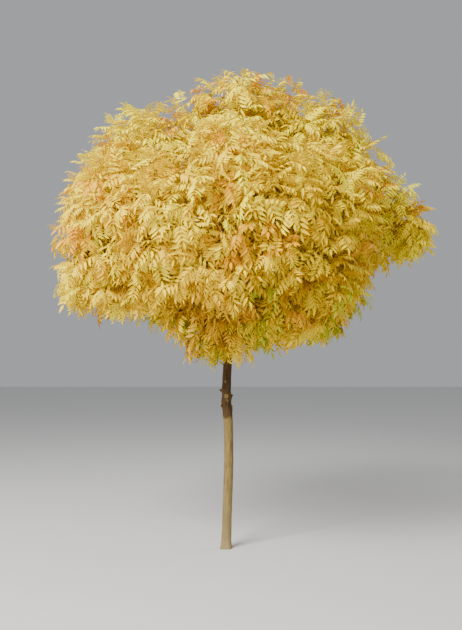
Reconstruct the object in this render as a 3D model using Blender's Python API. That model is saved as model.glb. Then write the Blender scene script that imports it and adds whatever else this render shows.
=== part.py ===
"""A golden ash grafted high on a clear stem: the trunk, its boughs and the masses of leaf at their ends.

Metres, +Z up, the front towards -Y. The origin is the centre of the flat cut at ground level. Each mass of
leaf keeps to its own space, which is its ball less the part that lies nearer to a neighbouring ball. A bough
ends where it enters a mass, and there the stem of the mass carries on, a hair's breadth clear of it.
"""

import math
from collections import namedtuple

import bmesh
import bpy
import numpy as np
from mathutils import Matrix, Vector
from mathutils.bvhtree import BVHTree

SEED = 41
FIT_GAP = 0.0003
UP = Vector((0, 0, 1))
GOLDEN_ANGLE = math.pi * (3 - math.sqrt(5))

# The trunk: height, shift to the right, shift to the back and radius. The graft swells it at 1.23 m.
TRUNK = (
    (0.00, 0.000, 0.000, 0.0540),
    (0.04, 0.000, 0.000, 0.0465),
    (0.12, 0.003, 0.000, 0.0425),
    (0.36, 0.010, 0.002, 0.0406),
    (0.72, 0.021, 0.004, 0.0402),
    (1.05, 0.017, 0.004, 0.0402),
    (1.15, 0.011, 0.002, 0.0418),
    (1.23, 0.004, 0.000, 0.0440),
    (1.33, 0.002, -0.002, 0.0408),
    (1.48, 0.007, -0.004, 0.0378),
    (1.63, 0.016, -0.004, 0.0355),
    (1.90, 0.030, 0.004, 0.0310),
    (2.20, 0.022, 0.014, 0.0262),
    (2.50, 0.034, 0.010, 0.0208),
    (2.80, 0.052, -0.006, 0.0156),
    (3.05, 0.060, 0.004, 0.0118),
    (3.27, 0.070, 0.012, 0.0090),
)
TRUNK_SIDES = 12
FLARE_LOBES = 4
FLARE_TURN = 0.7
FLARE_DEPTH = 0.13
FLARE_HEIGHT = 0.05

# The masses: the limb that carries each, the height (on the trunk) or share (on a bough) at which its bough
# leaves, the centre of its ball and the ball's radius. The trunk itself carries the top one.
Mass = namedtuple("Mass", "name carrier leaves_at x y z radius")
MASSES = (
    Mass("top", "trunk", None, 0.12, 0.00, 3.72, 0.50),
    Mass("low_left", "trunk", 1.64, -1.05, -0.18, 2.41, 0.43),
    Mass("skirt_right", "trunk", 1.67, 0.76, 0.10, 2.14, 0.38),
    Mass("skirt_trunk", "trunk", 1.73, -0.12, -0.35, 1.91, 0.33),
    Mass("skirt_back_left", "trunk", 1.76, -0.48, 0.70, 2.32, 0.42),
    Mass("skirt_front", "trunk", 1.80, 0.35, -0.45, 2.05, 0.36),
    Mass("skirt_back_right", "trunk", 1.84, 0.50, 0.74, 2.22, 0.42),
    Mass("skirt_left", "trunk", 1.90, -0.58, -0.47, 2.35, 0.39),
    Mass("low_right", "trunk", 1.94, 0.92, -0.10, 2.55, 0.42),
    Mass("left", "trunk", 2.00, -1.00, -0.08, 2.84, 0.46),
    Mass("back", "trunk", 2.04, 0.05, 1.08, 2.65, 0.50),
    Mass("front_left", "trunk", 2.10, -0.34, -0.93, 2.66, 0.48),
    Mass("right", "trunk", 2.16, 1.10, 0.00, 3.04, 0.44),
    Mass("front_right", "trunk", 2.22, 0.38, -0.92, 2.74, 0.48),
    Mass("left_front", "trunk", 2.28, -0.78, -0.60, 2.88, 0.44),
    Mass("right_front", "trunk", 2.34, 0.82, -0.62, 2.90, 0.44),
    Mass("upper_left", "trunk", 2.40, -0.67, -0.08, 3.36, 0.49),
    Mass("upper_right", "trunk", 2.48, 0.79, 0.00, 3.50, 0.46),
    Mass("upper_back", "trunk", 2.58, 0.08, 0.64, 3.26, 0.50),
    Mass("upper_front", "trunk", 2.66, 0.07, -0.70, 3.08, 0.48),
    Mass("back_left", "left", 0.30, -0.68, 0.72, 2.85, 0.50),
    Mass("back_right", "right", 0.30, 0.76, 0.72, 2.82, 0.50),
    Mass("far_right", "right", 0.55, 1.53, 0.05, 2.77, 0.30),
    Mass("low_front", "front_left", 0.35, 0.05, -0.86, 2.32, 0.41),
    Mass("low_left_back", "low_left", 0.40, -0.92, 0.42, 2.42, 0.40),
    Mass("low_right_front", "low_right", 0.32, 0.74, -0.58, 2.31, 0.39),
)
CROWN_HEART = Vector((0.06, 0.05, 2.55))
SPACE_MARGIN = 0.002

BOUGH_SIDES = 6
BOUGH_RINGS = 6
BOUGH_SHARE = 0.50
BOUGH_TAPER = 0.46
BOUGH_SLIMMEST = 0.0055
BOUGH_RISE = 0.25
BOUGH_FIRST_RUN = 0.35
BOUGH_LAST_RUN = 0.25
COLLAR = 0.30
COLLAR_LENGTH = 0.07
ENTRY_SHARE = 0.80
ENTRY_LEVEL = 0.35
TIP_ROOM = 0.03
SWERVE = 0.62

SHOOT_DIRECTIONS = 10
SHOOT_REACH = 0.60
SHOOT_ROOM = 0.45
SHOOT_DEPTH = 0.75
SHOOT_INWARD = -0.35
WAY_WEIGHT = 0.5
FORK_SHARE = 0.6
PAIR_SPACING = 0.030
PAIR_OFFSET = 0.006

STEM_SIDES = 5
STEM_BEND = 0.3
TWIG_SIDES = 3
TWIG_RADIUS = 0.0085
TWIG_TAPER = 1.4
TWIG_OVERRUN = 0.012
CORE_SHARE = 0.41
CORE_ROOM = 0.75
CORE_LUMPS = 0.22
CORE_STEPS = 12
CORE_SHRINK = 0.88

LEAVES_A_SHOOT = 5
LEAF_SPREAD = 1.2
LEAF_DROOP = 0.32
TIP_LEAF_DROOP = 0.08
LEAF_LONGEST = 0.38
LEAF_SHORTEST = 0.16
LEAF_WIDTH = 0.44
LEAF_THICKNESS = 0.06
LEAF_BEND = 0.10
LEAF_WIDEST_AT = 0.44
LEAF_TILT = 0.35
LEAF_FACES_UP = 0.5
LEAF_NECK = 0.04

BARK_TRUNK = (0.42, 0.31, 0.17, 1.0)
BARK_BOUGH = (0.16, 0.09, 0.035, 1.0)
BARK_ROUGHNESS = 0.8
LEAF_COLOURS = (
    (0.93, 0.68, 0.10, 1.0),
    (0.86, 0.56, 0.05, 1.0),
    (0.95, 0.76, 0.19, 1.0),
    (0.74, 0.46, 0.03, 1.0),
)
LEAF_ROUGHNESS = 0.55
SHARP_ANGLE = math.radians(50)


def clear_scene():
    for obj in list(bpy.data.objects):
        bpy.data.objects.remove(obj, do_unlink=True)


def material(name, colour, roughness):
    """A plain finish for one kind of piece."""
    made = bpy.data.materials.new(name)
    made.use_nodes = True
    shader = made.node_tree.nodes["Principled BSDF"]
    shader.inputs["Base Color"].default_value = colour
    shader.inputs["Roughness"].default_value = roughness
    shader.inputs["Metallic"].default_value = 0.0
    made.diffuse_color = colour
    return made


def add_object(name, mesh, finish):
    obj = bpy.data.objects.new(name, mesh)
    bpy.context.scene.collection.objects.link(obj)
    mesh.materials.append(finish)
    return obj


def ring_frames(path):
    """Two cross directions at each point of a path, turned as little as possible from point to point."""
    steps = [b - a for a, b in zip(path, path[1:])]
    along = [steps[0]]
    along += [a.normalized() + b.normalized() for a, b in zip(steps, steps[1:])]
    along.append(steps[-1])
    side = along[0].orthogonal().normalized()
    frames = []
    for direction in along:
        direction = direction.normalized()
        side = (side - direction * side.dot(direction)).normalized()
        frames.append((side, direction.cross(side)))
    return frames


def tube_mesh(name, path, radii, sides, swell=None):
    """A closed tapered tube along a path. swell(height, angle) takes its rings out of round."""
    shape = bmesh.new()
    rings = []
    for centre, radius, (side, across) in zip(path, radii, ring_frames(path)):
        ring = []
        for step in range(sides):
            angle = 2 * math.pi * step / sides
            reach = radius * swell(centre.z, angle) if swell else radius
            offset = side * math.cos(angle) + across * math.sin(angle)
            ring.append(shape.verts.new(centre + offset * reach))
        rings.append(ring)
    for low, high in zip(rings, rings[1:]):
        for step in range(sides):
            after = (step + 1) % sides
            shape.faces.new((low[step], low[after], high[after], high[step]))
    shape.faces.new(reversed(rings[0]))
    shape.faces.new(rings[-1])
    bmesh.ops.recalc_face_normals(shape, faces=shape.faces)
    mesh = bpy.data.meshes.new(name)
    shape.to_mesh(mesh)
    shape.free()
    return mesh


def tree_of(mesh):
    """The mesh as a search tree, for finding what touches it."""
    corners = [vertex.co.copy() for vertex in mesh.vertices]
    faces = [tuple(polygon.vertices) for polygon in mesh.polygons]
    return BVHTree.FromPolygons(corners, faces)


class Limb:
    """The trunk or a bough: the path that it follows, and its radius along it."""

    def __init__(self, path, radii, sides, swell=None):
        self.path = path
        self.radii = radii
        self.sides = sides
        self.swell = swell

    def mesh(self, name, growth=0.0):
        radii = [radius + growth for radius in self.radii]
        return tube_mesh(name, self.path, radii, self.sides, self.swell)

    def fork(self, share):
        """The point and the radius at this share of the rings."""
        place = share * (len(self.path) - 1)
        index = int(place)
        rest = place - index
        radius = self.radii[index] * (1 - rest) + self.radii[index + 1] * rest
        return self.path[index].lerp(self.path[index + 1], rest), radius

    def fork_at_height(self, height):
        heights = [point.z for point in self.path]
        share = np.interp(height, heights, np.linspace(0, 1, len(heights)))
        return self.fork(float(share))

    def tip(self):
        return self.path[-1], (self.path[-1] - self.path[-2]).normalized(), self.radii[-1]


class Space:
    """The space of one mass: its ball, cut by a plane towards each neighbour that it would run into."""

    def __init__(self, mass):
        self.mass = mass
        self.radius = mass.radius
        self.centre = centre_of(mass)
        self.planes = []
        for other in MASSES:
            across = centre_of(other) - self.centre
            if other is mass or across.length > mass.radius + other.radius:
                continue
            reach = (across.length_squared + mass.radius**2 - other.radius**2) / (2 * across.length)
            self.planes.append((across.normalized(), reach - SPACE_MARGIN))

    def room(self, start, direction):
        """How far a straight line may run from start before it leaves the space."""
        offset = start - self.centre
        along = offset.dot(direction)
        beyond = along**2 - offset.length_squared + self.radius**2
        if beyond < 0:
            return 0.0
        reach = math.sqrt(beyond) - along
        for normal, limit in self.planes:
            slope = normal.dot(direction)
            if slope > 0:
                reach = min(reach, (limit - normal.dot(offset)) / slope)
        return max(reach, 0.0)

    def holds(self, point):
        offset = point - self.centre
        return offset.length < self.radius and all(n.dot(offset) < limit for n, limit in self.planes)

    def takes(self, mesh, limbs):
        """True if the piece lies wholly in the space and touches no limb."""
        if not all(self.holds(vertex.co) for vertex in mesh.vertices):
            return False
        return not limbs.overlap(tree_of(mesh))


def centre_of(mass):
    return Vector((mass.x, mass.y, mass.z))


def trunk_limb():
    def flare(height, angle):
        lobes = math.cos(FLARE_LOBES * angle + FLARE_TURN)
        return 1 + FLARE_DEPTH * lobes * math.exp(-height / FLARE_HEIGHT)

    path = [Vector((x, y, height)) for height, x, y, _ in TRUNK]
    radii = [radius for *_, radius in TRUNK]
    return Limb(path, radii, TRUNK_SIDES, flare)


def bezier(a, b, c, d, share):
    rest = 1 - share
    return a * rest**3 + b * 3 * rest**2 * share + c * 3 * rest * share**2 + d * share**3


def swerve(point, own):
    """The point moved out of the inner part of every ball but its own."""
    for mass in MASSES:
        away = point - centre_of(mass)
        clear = mass.radius * SWERVE
        if mass is not own and away.length < clear:
            point = point + away.normalized() * (clear - away.length)
    return point


def bough_path(mass, start):
    """From the axis of the carrier to where the bough enters its mass, bending round the others on its way."""
    space = Space(mass)
    reach = (space.centre - start).normalized()
    level = Vector((reach.x, reach.y, 0)).normalized()
    entry = (reach + level * ENTRY_LEVEL).normalized()
    depth = min(mass.radius * ENTRY_SHARE, space.room(space.centre, -entry) - TIP_ROOM)
    tip = space.centre - entry * depth
    length = (tip - start).length
    first = start + (reach + UP * BOUGH_RISE) * length * BOUGH_FIRST_RUN
    last = tip - entry * length * BOUGH_LAST_RUN
    path = [bezier(start, first, last, tip, i / (BOUGH_RINGS - 1)) for i in range(BOUGH_RINGS)]
    return path[:1] + [swerve(point, mass) for point in path[1:-1]] + path[-1:]


def bough_limb(mass, carrier):
    fork = carrier.fork_at_height if mass.carrier == "trunk" else carrier.fork
    start, carrier_radius = fork(mass.leaves_at)
    path = bough_path(mass, start)
    thick = carrier_radius * BOUGH_SHARE
    thin = max(thick * BOUGH_TAPER, BOUGH_SLIMMEST)
    radii = []
    for i, point in enumerate(path):
        collar = 1 + COLLAR * math.exp(-(point - start).length / COLLAR_LENGTH)
        radii.append((thick + (thin - thick) * i / (BOUGH_RINGS - 1)) * collar)
    return Limb(path, radii, BOUGH_SIDES)


def cut_foot(bough, carrier):
    """Trims the foot of a bough to the outside of its carrier, less the fitting gap."""
    name = bough.name + "_cutter"
    cutter = add_object(name, carrier.mesh(name, FIT_GAP), bough.data.materials[0])
    cutter.hide_render = True
    cutter.display_type = "WIRE"
    cut = bough.modifiers.new("foot", "BOOLEAN")
    cut.operation = "DIFFERENCE"
    cut.object = cutter


def limb_tree(limbs):
    """All the limbs as one search tree, grown by the margin that leaves and twigs keep from them."""
    corners = []
    faces = []
    for limb in limbs:
        mesh = limb.mesh("reach", SPACE_MARGIN)
        first = len(corners)
        corners += [vertex.co.copy() for vertex in mesh.vertices]
        faces += [tuple(first + i for i in polygon.vertices) for polygon in mesh.polygons]
        bpy.data.meshes.remove(mesh)
    return BVHTree.FromPolygons(corners, faces)


def leaf_mesh(name, root, direction, face, length):
    """A long pointed blade of six faces: flat on the side it shows, keeled behind, its tip bent down."""
    across = direction.cross(face).normalized()
    face = across.cross(direction).normalized()
    middle = root + direction * length * LEAF_WIDEST_AT
    half_width = length * LEAF_WIDTH / 2
    tip = root + direction * length - face * length * LEAF_BEND
    keel = middle - face * length * LEAF_THICKNESS
    corners = [root, tip, middle + across * half_width, middle - across * half_width, keel]
    mesh = bpy.data.meshes.new(name)
    mesh.from_pydata(corners, [], [(0, 3, 2), (0, 4, 3), (0, 2, 4), (1, 2, 3), (1, 3, 4), (1, 4, 2)])
    return mesh


def shoot_points(space, rng):
    """Where the shoots of a mass end: spread evenly over the side of it that faces out of the crown."""
    outward = (space.centre - CROWN_HEART).normalized()
    turn = rng.uniform(0, 2 * math.pi)
    points = []
    for i in range(SHOOT_DIRECTIONS):
        rise = 1 - 2 * (i + 0.5) / SHOOT_DIRECTIONS
        flat = math.sqrt(1 - rise**2)
        angle = turn + i * GOLDEN_ANGLE
        direction = Vector((flat * math.cos(angle), flat * math.sin(angle), rise))
        room = space.room(space.centre, direction)
        if direction.dot(outward) > SHOOT_INWARD and room > space.radius * SHOOT_ROOM:
            points.append(space.centre + direction * min(room * SHOOT_DEPTH, space.radius * SHOOT_REACH))
    return points


def twig_links(heart, points):
    """Each shoot springs from whichever earlier fork gives it the shortest way to the heart of the mass."""
    forks = [(heart, 0.0)]
    links = []
    for point in sorted(points, key=lambda place: (place - heart).length):
        costs = [(point - fork).length + WAY_WEIGHT * way for fork, way in forks]
        fork, way = forks[costs.index(min(costs))]
        links.append((fork, point))
        forks.append((fork.lerp(point, FORK_SHARE), way + (point - fork).length * FORK_SHARE))
    return links


def leaf_directions(axis, twist):
    """A leaf on from the end of the shoot, and behind it opposite pairs, each square to the last."""
    side = axis.orthogonal().normalized()
    across = axis.cross(side)
    found = [(0.0, (axis - UP * TIP_LEAF_DROOP).normalized())]
    for i in range(LEAVES_A_SHOOT - 1):
        pair = i // 2
        angle = twist + math.pi * i + math.pi / 2 * pair
        around = side * math.cos(angle) + across * math.sin(angle)
        back = PAIR_SPACING * (pair + 1) + PAIR_OFFSET * (i % 2)
        direction = axis * math.cos(LEAF_SPREAD) + around * math.sin(LEAF_SPREAD) - UP * LEAF_DROOP
        found.append((back, direction.normalized()))
    return found


def leaves_of_shoot(space, limbs, fork, point, rng, placed):
    """The leaves of one shoot, each as long as its room allows, less those that would touch a neighbour."""
    axis = (point - fork).normalized()
    leaves = []
    for back, direction in leaf_directions(axis, rng.uniform(0, 2 * math.pi)):
        root = point - axis * back
        tilt = Vector([rng.uniform(-LEAF_TILT, LEAF_TILT) for _ in range(3)])
        face = axis + UP * LEAF_FACES_UP + tilt
        length = min(space.room(root, direction) - SPACE_MARGIN, LEAF_LONGEST)
        if length < LEAF_SHORTEST:
            continue
        blade = leaf_mesh("blade", root + direction * LEAF_NECK, direction, face, length - LEAF_NECK)
        leaf = leaf_mesh("leaf", root, direction, face, length)
        reach = tree_of(blade)
        bpy.data.meshes.remove(blade)
        if space.takes(leaf, limbs) and not any(reach.overlap(other) for other in placed):
            leaves.append(leaf)
            placed.append(tree_of(leaf))
    return leaves


def core_mesh(space, limbs, rng):
    """The dense heart of a mass: a lumpy ball inside its space, shrunk until it is clear of every limb."""
    shape = bmesh.new()
    bmesh.ops.create_icosphere(shape, subdivisions=2, radius=1.0)
    for vertex in shape.verts:
        direction = vertex.co.normalized()
        reach = min(space.radius * CORE_SHARE, space.room(space.centre, direction) * CORE_ROOM)
        vertex.co = space.centre + direction * reach * (1 + rng.uniform(-CORE_LUMPS, CORE_LUMPS))
    mesh = bpy.data.meshes.new("core")
    shape.to_mesh(mesh)
    shape.free()
    to_centre = Matrix.Translation(space.centre)
    shrink = to_centre @ Matrix.Scale(CORE_SHRINK, 4) @ to_centre.inverted()
    for _ in range(CORE_STEPS):
        if not space.takes(mesh, limbs):
            mesh.transform(shrink)
    return mesh


def stem_mesh(space, carrier):
    """On from the tip of the bough, bending to the centre of the mass."""
    tip, direction, radius = carrier.tip()
    base = tip + direction * FIT_GAP
    bend = base + direction * (space.centre - base).length * STEM_BEND
    return tube_mesh("stem", [base, bend, space.centre], [radius, radius, TWIG_RADIUS], STEM_SIDES)


def twig_mesh(fork, point):
    end = point + (point - fork).normalized() * TWIG_OVERRUN
    return tube_mesh("twig", [fork, end], [TWIG_RADIUS * TWIG_TAPER, TWIG_RADIUS], TWIG_SIDES)


def mass_meshes(mass, carrier, limbs, rng):
    """The core, stem, twigs and leaves of one mass, as closed meshes that run into each other."""
    space = Space(mass)
    meshes = [core_mesh(space, limbs, rng), stem_mesh(space, carrier)]
    links = []
    for fork, point in twig_links(space.centre, shoot_points(space, rng)):
        twig = twig_mesh(fork, point)
        if space.takes(twig, limbs):
            meshes.append(twig)
            links.append((fork, point))
    placed = [tree_of(mesh) for mesh in meshes]
    for fork, point in links:
        meshes += leaves_of_shoot(space, limbs, fork, point, rng, placed)
    return meshes


def fuse(name, meshes, finish):
    """Joins the core, stem, twigs and leaves of a mass into one closed body."""
    parts = bpy.data.collections.new(name + "_parts")
    bpy.context.scene.collection.children.link(parts)
    body = add_object(name, meshes[0], finish)
    for mesh in meshes[1:]:
        mesh.materials.append(finish)
        parts.objects.link(bpy.data.objects.new(name + "_part", mesh))
    join = body.modifiers.new("join", "BOOLEAN")
    join.operation = "UNION"
    join.operand_type = "COLLECTION"
    join.collection = parts
    bpy.context.view_layer.update()
    whole = bpy.data.meshes.new_from_object(body.evaluated_get(bpy.context.evaluated_depsgraph_get()))
    body.modifiers.remove(join)
    body.data = whole
    for obj in list(parts.objects):
        bpy.data.objects.remove(obj, do_unlink=True)
    bpy.data.collections.remove(parts)
    keep_largest_body(whole)


def keep_largest_body(mesh):
    """Drops loose scraps, and fills a sealed hollow by dropping its inner wall."""
    shape = bmesh.new()
    shape.from_mesh(mesh)
    bodies = []
    unseen = set(shape.faces)
    while unseen:
        body = [unseen.pop()]
        for face in body:
            beside = {other for edge in face.edges for other in edge.link_faces} & unseen
            unseen -= beside
            body += beside
        bodies.append(body)
    bodies.sort(key=len)
    for body in bodies[:-1]:
        bmesh.ops.delete(shape, geom=body, context="FACES")
    shape.to_mesh(mesh)
    shape.free()


def add_limb(name, limb, finish):
    mesh = limb.mesh(name)
    mesh.shade_smooth()
    mesh.set_sharp_from_angle(angle=SHARP_ANGLE)
    return add_object(name, mesh, finish)


def grow_limbs():
    """The trunk, and a bough to each mass but the top one, each after the limb that carries it."""
    bark = material("trunk_bark", BARK_TRUNK, BARK_ROUGHNESS)
    dark_bark = material("bough_bark", BARK_BOUGH, BARK_ROUGHNESS)
    limbs = {"trunk": trunk_limb()}
    add_limb("trunk", limbs["trunk"], bark)
    for mass in MASSES[1:]:
        carrier = limbs[mass.carrier]
        limbs[mass.name] = bough_limb(mass, carrier)
        cut_foot(add_limb("bough_" + mass.name, limbs[mass.name], dark_bark), carrier)
    return limbs


def grow_masses(limbs):
    tints = [material(f"leaf_gold_{i}", colour, LEAF_ROUGHNESS) for i, colour in enumerate(LEAF_COLOURS)]
    tree = limb_tree(limbs.values())
    for i, mass in enumerate(MASSES):
        rng = np.random.default_rng(SEED + i)
        carrier = limbs.get(mass.name, limbs["trunk"])
        fuse("foliage_" + mass.name, mass_meshes(mass, carrier, tree, rng), tints[i % len(tints)])


clear_scene()
grow_masses(grow_limbs())
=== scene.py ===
"""The looks of a golden ash grafted high on a clear stem: its bark, boughs, twigs, buds and autumn leaves.

Metres, +Z up, the front towards -Y. Boughs, twigs and leaves grow on from the trunk by the rule of the part's
source, written again here and carried to finer twigs. Each mass of leaf keeps to its own space, which is its
ball less the part that lies nearer to a neighbouring ball.
"""

import functools
import math
from collections import namedtuple

import bpy
import numpy as np
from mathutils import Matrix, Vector


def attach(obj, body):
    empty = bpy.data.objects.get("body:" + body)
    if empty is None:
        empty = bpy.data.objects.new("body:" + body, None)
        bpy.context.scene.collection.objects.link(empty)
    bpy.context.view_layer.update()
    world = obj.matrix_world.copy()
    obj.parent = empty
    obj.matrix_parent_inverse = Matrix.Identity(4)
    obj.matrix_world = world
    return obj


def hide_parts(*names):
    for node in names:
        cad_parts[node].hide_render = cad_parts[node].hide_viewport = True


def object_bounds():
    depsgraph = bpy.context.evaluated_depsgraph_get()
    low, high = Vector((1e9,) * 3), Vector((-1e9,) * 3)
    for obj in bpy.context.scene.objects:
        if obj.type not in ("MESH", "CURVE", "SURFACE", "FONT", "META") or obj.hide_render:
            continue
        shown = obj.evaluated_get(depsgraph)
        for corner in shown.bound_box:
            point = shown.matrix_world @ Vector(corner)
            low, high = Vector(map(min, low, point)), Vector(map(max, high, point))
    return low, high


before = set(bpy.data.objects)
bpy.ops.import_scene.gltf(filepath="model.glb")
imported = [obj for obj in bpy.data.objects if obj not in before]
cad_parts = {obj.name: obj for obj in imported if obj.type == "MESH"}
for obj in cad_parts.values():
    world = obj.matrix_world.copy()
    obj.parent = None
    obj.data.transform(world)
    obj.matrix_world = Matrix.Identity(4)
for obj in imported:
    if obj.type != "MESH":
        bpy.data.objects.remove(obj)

CAD_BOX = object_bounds()

bl_info = {
    "name": "Golden ash",
    "version": (1, 0, 0),
    "blender": (4, 5, 0),
    "location": "3D View > Sidebar > Golden ash",
    "description": "Grows the bark, boughs, twigs, buds and autumn leaves of a golden ash round its solids",
    "category": "Object",
}

SEED = 41
UP = Vector((0, 0, 1))
GOLDEN_ANGLE = math.pi * (3 - math.sqrt(5))

# The trunk: height, shift to the right, shift to the back and radius, as in the part's source.
TRUNK = (
    (0.00, 0.000, 0.000, 0.0540),
    (0.04, 0.000, 0.000, 0.0465),
    (0.12, 0.003, 0.000, 0.0425),
    (0.36, 0.010, 0.002, 0.0406),
    (0.72, 0.021, 0.004, 0.0402),
    (1.05, 0.017, 0.004, 0.0402),
    (1.15, 0.011, 0.002, 0.0418),
    (1.23, 0.004, 0.000, 0.0440),
    (1.33, 0.002, -0.002, 0.0408),
    (1.48, 0.007, -0.004, 0.0378),
    (1.63, 0.016, -0.004, 0.0355),
    (1.90, 0.030, 0.004, 0.0310),
    (2.20, 0.022, 0.014, 0.0262),
    (2.50, 0.034, 0.010, 0.0208),
    (2.80, 0.052, -0.006, 0.0156),
    (3.05, 0.060, 0.004, 0.0118),
    (3.27, 0.070, 0.012, 0.0090),
)
FLARE_LOBES = 4
FLARE_TURN = 0.7
FLARE_START = math.pi / 4
FLARE_DEPTH = 0.13
FLARE_HEIGHT = 0.05
CLEAR_STEM = 1.70
STREAK_TURNS = (9, 30)
STREAK_RISE = 8.0
LUMP_TURNS = (1, 5)
LUMP_RISE = 70.0
WAVES = 20
KNOT_HEIGHT = 1.27
KNOT_SPREAD = 0.11
KNOT_GAIN = 4.5
GRAFT_HEIGHT = 1.112
GRAFT_WIDTH = 0.010
GRAFT_TILT = 0.010
GRAFT_WAVES = 2
GRAFT_START = 1
HIDDEN_STEPS = 2

# The stubs left by pruning round the graft: height, bearing in degrees from the right, length and radius.
STUBS = (
    (1.337, 186, 0.020, 0.0095),
    (1.204, 202, 0.018, 0.0085),
    (1.293, -14, 0.015, 0.0095),
    (1.201, -28, 0.013, 0.0085),
    (1.375, 96, 0.016, 0.0090),
    (1.245, 62, 0.013, 0.0080),
)
# The healed scars: height, bearing and radius.
SCARS = ((1.290, 268, 0.0135), (1.252, 274, 0.0090), (1.415, 250, 0.0080), (1.330, 118, 0.0120))
STUB_RISE = 0.35
STUB_SIDES = 16
# How far each ring of a stub and of a scar stands out, and its radius, as shares of the whole.
STUB_PROFILE = (
    (-0.6, 1.75), (0.0, 1.60), (0.16, 1.28), (0.35, 1.08), (0.85, 1.00), (0.97, 0.93), (1.0, 0.84)
)
CUT_PROFILE = ((0.985, 0.90), (1.0, 0.84), (0.96, 0.45), (0.95, 0.02))
SCAR_PROFILE = (
    (-0.5, 1.60), (0.02, 1.45), (0.26, 1.12), (0.24, 0.86), (0.05, 0.62), (0.0, 0.30), (0.03, 0.02)
)

Mass = namedtuple("Mass", "name carrier leaves_at x y z radius")
MASSES = (
    Mass("top", "trunk", None, 0.12, 0.00, 3.72, 0.50),
    Mass("low_left", "trunk", 1.64, -1.05, -0.18, 2.41, 0.43),
    Mass("skirt_right", "trunk", 1.67, 0.76, 0.10, 2.14, 0.38),
    Mass("skirt_trunk", "trunk", 1.73, -0.12, -0.35, 1.91, 0.33),
    Mass("skirt_back_left", "trunk", 1.76, -0.48, 0.70, 2.32, 0.42),
    Mass("skirt_front", "trunk", 1.80, 0.35, -0.45, 2.05, 0.36),
    Mass("skirt_back_right", "trunk", 1.84, 0.50, 0.74, 2.22, 0.42),
    Mass("skirt_left", "trunk", 1.90, -0.58, -0.47, 2.35, 0.39),
    Mass("low_right", "trunk", 1.94, 0.92, -0.10, 2.55, 0.42),
    Mass("left", "trunk", 2.00, -1.00, -0.08, 2.84, 0.46),
    Mass("back", "trunk", 2.04, 0.05, 1.08, 2.65, 0.50),
    Mass("front_left", "trunk", 2.10, -0.34, -0.93, 2.66, 0.48),
    Mass("right", "trunk", 2.16, 1.10, 0.00, 3.04, 0.44),
    Mass("front_right", "trunk", 2.22, 0.38, -0.92, 2.74, 0.48),
    Mass("left_front", "trunk", 2.28, -0.78, -0.60, 2.88, 0.44),
    Mass("right_front", "trunk", 2.34, 0.82, -0.62, 2.90, 0.44),
    Mass("upper_left", "trunk", 2.40, -0.67, -0.08, 3.36, 0.49),
    Mass("upper_right", "trunk", 2.48, 0.79, 0.00, 3.50, 0.46),
    Mass("upper_back", "trunk", 2.58, 0.08, 0.64, 3.26, 0.50),
    Mass("upper_front", "trunk", 2.66, 0.07, -0.70, 3.08, 0.48),
    Mass("back_left", "left", 0.30, -0.68, 0.72, 2.85, 0.50),
    Mass("back_right", "right", 0.30, 0.76, 0.72, 2.82, 0.50),
    Mass("far_right", "right", 0.55, 1.53, 0.05, 2.77, 0.30),
    Mass("low_front", "front_left", 0.35, 0.05, -0.86, 2.32, 0.41),
    Mass("low_left_back", "low_left", 0.40, -0.92, 0.42, 2.42, 0.40),
    Mass("low_right_front", "low_right", 0.32, 0.74, -0.58, 2.31, 0.39),
)
CROWN_HEART = Vector((0.06, 0.05, 2.55))
CROWN_REACH = 1.65
CROWN_FOOT = 1.70
CROWN_HEIGHT = 2.45
SPACE_MARGIN = 0.002

# The boughs, as in the part's source, on finer rings.
BOUGH_RINGS = 6
BOUGH_SHARE = 0.50
BOUGH_TAPER = 0.46
BOUGH_SLIMMEST = 0.0055
BOUGH_RISE = 0.25
BOUGH_FIRST_RUN = 0.35
BOUGH_LAST_RUN = 0.25
COLLAR = 0.30
COLLAR_LENGTH = 0.07
ENTRY_SHARE = 0.80
ENTRY_LEVEL = 0.35
TIP_ROOM = 0.03
SWERVE = 0.62
FINE_RINGS = 44
FINE_SIDES = 12
BOUGH_RELIEF = 0.035

# The main shoots, as in the part's source. Its core draws one number for each of its corners before them.
CORE_CORNERS = 42
SHOOT_DIRECTIONS = 10
SHOOT_REACH = 0.60
SHOOT_ROOM = 0.45
SHOOT_DEPTH = 0.75
SHOOT_INWARD = -0.35
WAY_WEIGHT = 0.5

# The finer shoots: they end at these shares of the room in their direction, less what a spray takes.
FINE_SEED = 1000
FINE_SHELLS = (1.0, 0.86, 1.0, 0.70, 0.94, 0.55)
FINE_JITTER = 0.22
FINE_INWARD = -0.45
FINE_LEAST_ROOM = 0.13
SPRAY_ROOM = 0.085
USUAL_RADIUS = 0.45

# The dips between two masses are filled by shoots on the side that faces out, at these turns from it.
VALLEY_TURNS = (-1.05, -0.35, 0.35, 1.05)
VALLEY_FILL = 0.06
VALLEY_CLEAR = 0.06

# How twigs fork, bend and thicken. TWIG_SIDES has a least radius and the sides of a twig above it.
FORK_SHARES = (0.35, 0.6, 0.85)
FORK_LEAD = 0.22
FORK_AHEAD = 0.24
SHOOT_SAG = 0.07
STEM_BEND = 0.3
STEM_SUNK = 0.012
STEM_HEART_RADIUS = 0.0085
SHOOT_TIP_RADIUS = 0.0017
TWIG_GAIN = 1.2
TWIG_RINGS = 6
TWIG_SIDES = ((0.006, 7), (0.003, 5), (0.0, 4))
STEM_RINGS = 9

# A spray: how far back from the shoot's end each pair of leaves sits, how far it spreads and its size.
PAIRS = ((0.012, 0.72, 0.90), (0.045, 1.02, 1.02), (0.095, 1.22, 0.98))
END_LEAF_SPREAD = 0.22
END_LEAF_SIZE = 0.92
LEAF_DROOP = 0.34
LEAF_TILT = 0.38
LEAF_FACES_UP = 0.9
LEAF_FACES_ON = 0.5
LEAF_LENGTH_RANGE = (0.84, 1.12)
SHORTEST_SHARE = 0.52
OUTSIDE_ROOM = 0.020
BOX_ROOM = 0.008

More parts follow.
